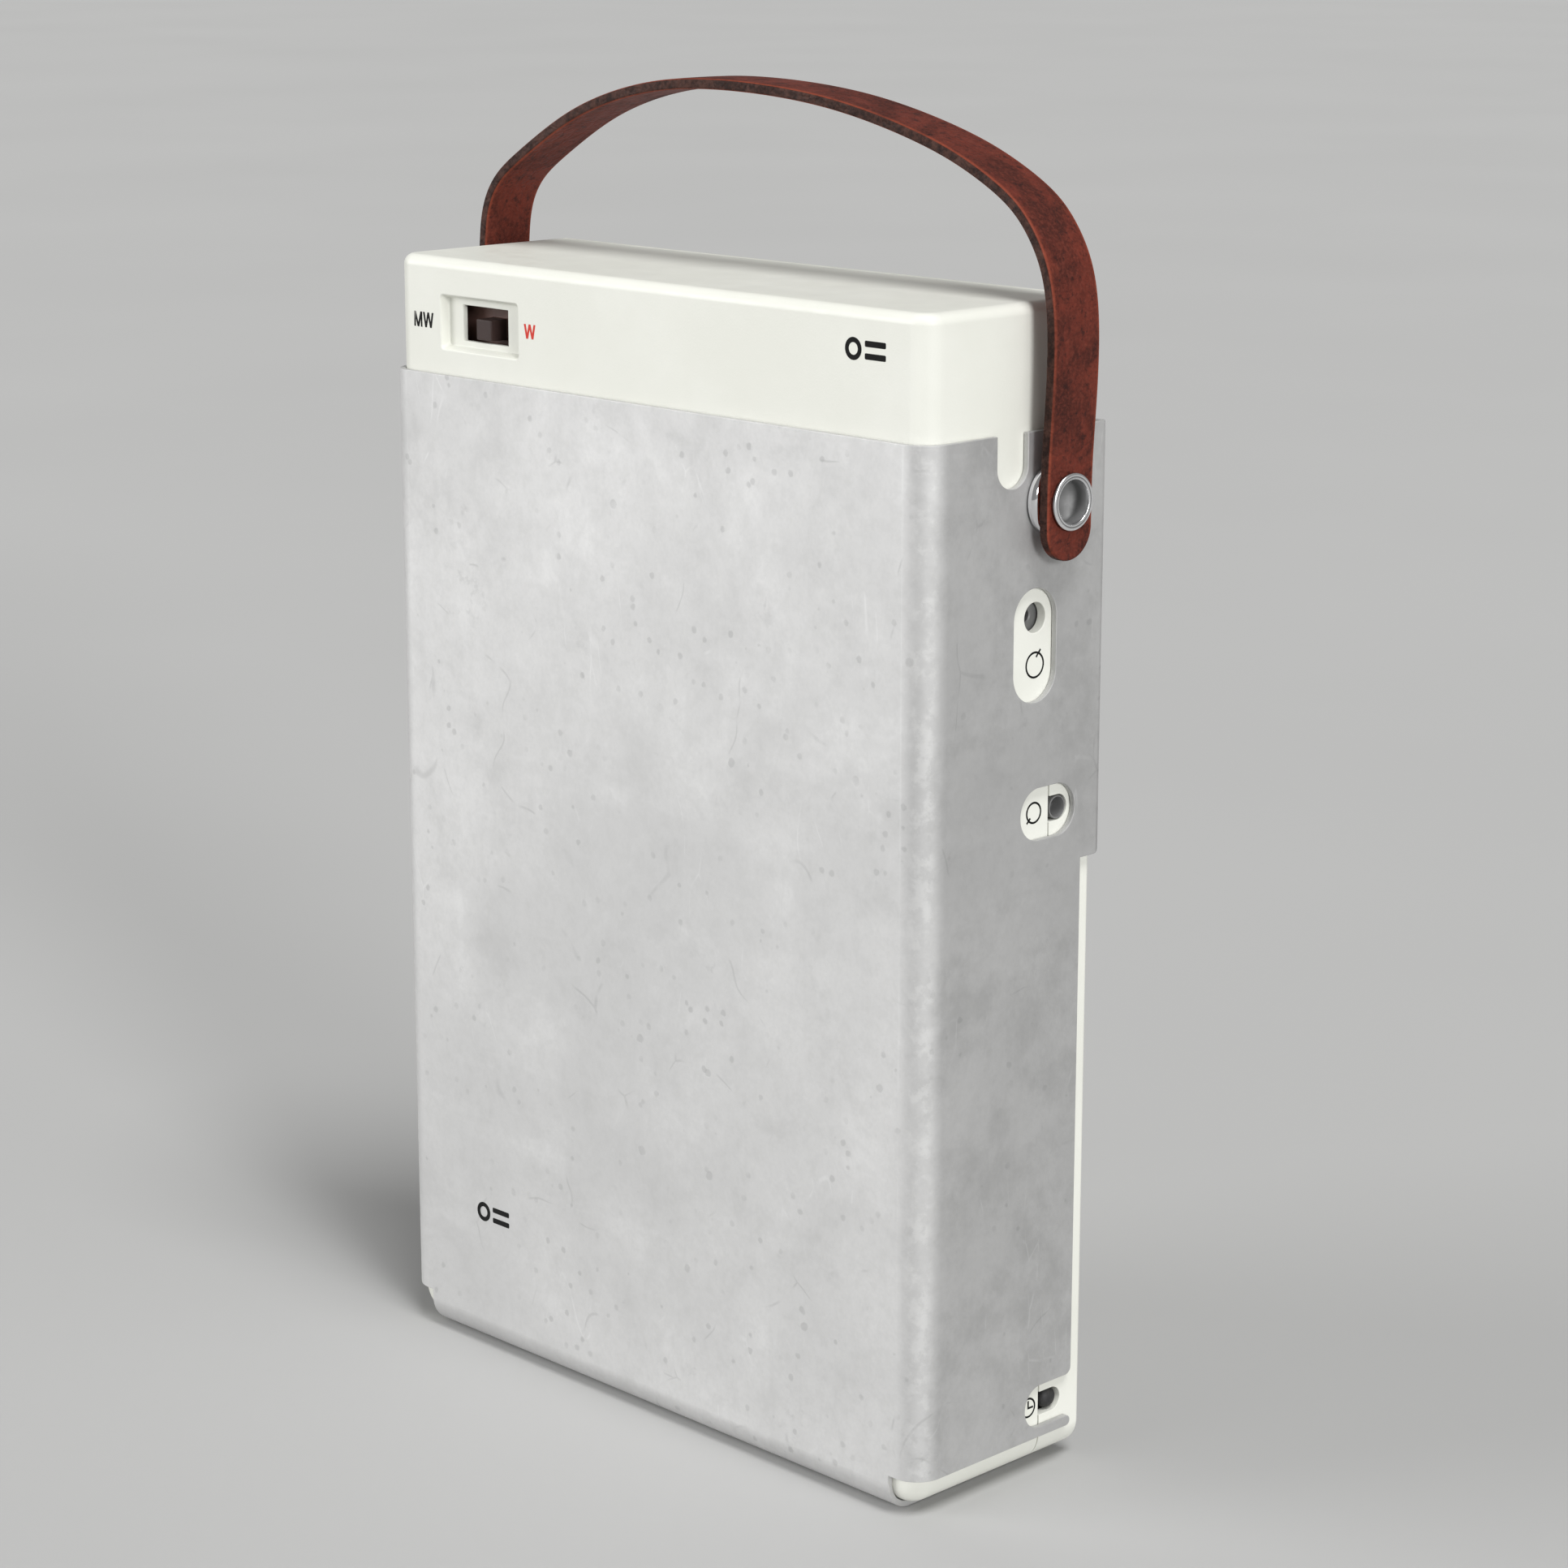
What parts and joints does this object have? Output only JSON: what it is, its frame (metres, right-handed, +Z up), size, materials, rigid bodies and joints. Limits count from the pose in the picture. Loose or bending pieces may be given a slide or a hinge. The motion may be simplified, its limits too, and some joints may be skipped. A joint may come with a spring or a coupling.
{
  "type": "portable radio",
  "caption": "Upright portable radio and small record player in a bent aluminium carrier with a swinging leather strap, side sockets, a thumb wheel and a turntable hub.",
  "frame": {"origin": "on the underside of the carrier's bottom flange, in the middle of the case's width and depth", "axes": "+Z up, -Y out of the plain back of the carrier, +Y out of the grille and turntable side, +X out of the side with the sockets"},
  "size_m": [0.1648, 0.0564, 0.2683],
  "materials": {
    "aluminium": "satin, spotted and scratched by age",
    "leather": "worn, with pale rubbed edges",
    "chrome": "bright plating",
    "cream_plastic": "fine satin grain",
    "brown_plastic": "satin",
    "black_plastic": "satin",
    "white_plastic": "smooth",
    "clear_plastic": "clear, smooth",
    "board": "resin-bonded paper",
    "steel": "plain plated sheet and turned steel",
    "ferrite": "sintered, dull",
    "copper": "bare copper and bronze",
    "paper": "pressed paper",
    "rubber": "matt",
    "battery_sleeve": "plain printed sleeve"
  },
  "bodies": {
    "case": {"aerial_coil": "copper", "band_switch_body": "black_plastic", "battery_block": "battery_sleeve", "battery_cell_1": "battery_sleeve", "battery_cell_2": "battery_sleeve", "battery_cell_3": "battery_sleeve", "battery_cell_4": "battery_sleeve", "battery_snap": "black_plastic", "battery_tray": "black_plastic", "carrier": "aluminium", "dial_window": "clear_plastic", "drive_belt": "rubber", "drive_motor": "steel", "earphone_jack": "steel", "ferrite_rod": "ferrite", "if_can_1": "steel", "if_can_2": "steel", "if_can_3": "steel", "motor_control_board": "board", "output_transformer": "steel", "player_back_shell": "cream_plastic", "player_chassis": "steel", "player_deck": "cream_plastic", "player_screw_1": "steel", "player_screw_2": "steel", "player_screw_3": "steel", "player_screw_4": "steel", "power_socket_plug": "rubber", "radio_back_shell": "cream_plastic", "radio_circuit_board": "board", "radio_front_panel": "cream_plastic", "radio_screw_1": "steel", "radio_screw_2": "steel", "signal_socket": "steel", "speaker_cone": "paper", "speaker_frame": "steel", "speaker_magnet": "ferrite", "spindle_bush": "copper", "strap_rivet_left": "chrome", "strap_rivet_right": "chrome", "strap_spacer_left": "chrome", "strap_spacer_right": "chrome", "tonearm_pivot": "steel", "tonearm_spring": "steel", "tuning_capacitor": "clear_plastic", "volume_control": "steel"},
    "strap": {"strap": "leather"},
    "band_switch": {"band_switch_slider": "brown_plastic"},
    "volume": {"volume_wheel": "black_plastic"},
    "tuning": {"tuning_knob": "white_plastic", "dial_disc": "white_plastic"},
    "turntable": {"turntable_hub": "white_plastic", "turntable_mat": "rubber", "turntable_pulley": "white_plastic"},
    "motor_rotor": {"motor_pulley": "copper"},
    "pickup_arm": {"tonearm": "white_plastic", "stylus_head": "black_plastic"},
    "cover": {"stylus_cover": "white_plastic"}
  },
  "joints": [
    {"name": "strap_swing", "type": "hinge", "parent": "case", "child": "strap", "pos_m": [0, 0.0088, 0.195], "axis": [1, 0, 0], "range_deg": [-110, 110]},
    {"name": "band_switch_slide", "type": "slide", "parent": "case", "child": "band_switch", "axis": [1, 0, 0], "range_m": [-0.0035, 0.0035]},
    {"name": "volume_turn", "type": "hinge", "parent": "case", "child": "volume", "pos_m": [-0.0653, 0.00505, 0.1677], "axis": [0, 1, 0], "range_deg": [0, 270]},
    {"name": "tuning_turn", "type": "hinge", "parent": "case", "child": "tuning", "pos_m": [-0.036, 0.0264, 0.18], "axis": [0, 1, 0], "range_deg": [-90, 90]},
    {"name": "turntable_spin", "type": "hinge", "parent": "case", "child": "turntable", "pos_m": [0, 0.0225, 0.092], "axis": [0, 1, 0], "continuous": true},
    {"name": "motor_spin", "type": "hinge", "parent": "case", "child": "motor_rotor", "pos_m": [-0.046, 0.01, 0.034], "axis": [0, 1, 0], "continuous": true},
    {"name": "pickup_swing", "type": "hinge", "parent": "case", "child": "pickup_arm", "pos_m": [0.052, 0.0166, 0.026], "axis": [0, 1, 0], "range_deg": [0, 36]},
    {"name": "cover_slide", "type": "slide", "parent": "case", "child": "cover", "axis": [-1, 0, 0], "range_m": [0, 0.02]}
  ],
  "couplings": [
    {"joint": "motor_spin", "follows": "turntable_spin", "ratio": 6}
  ]
}
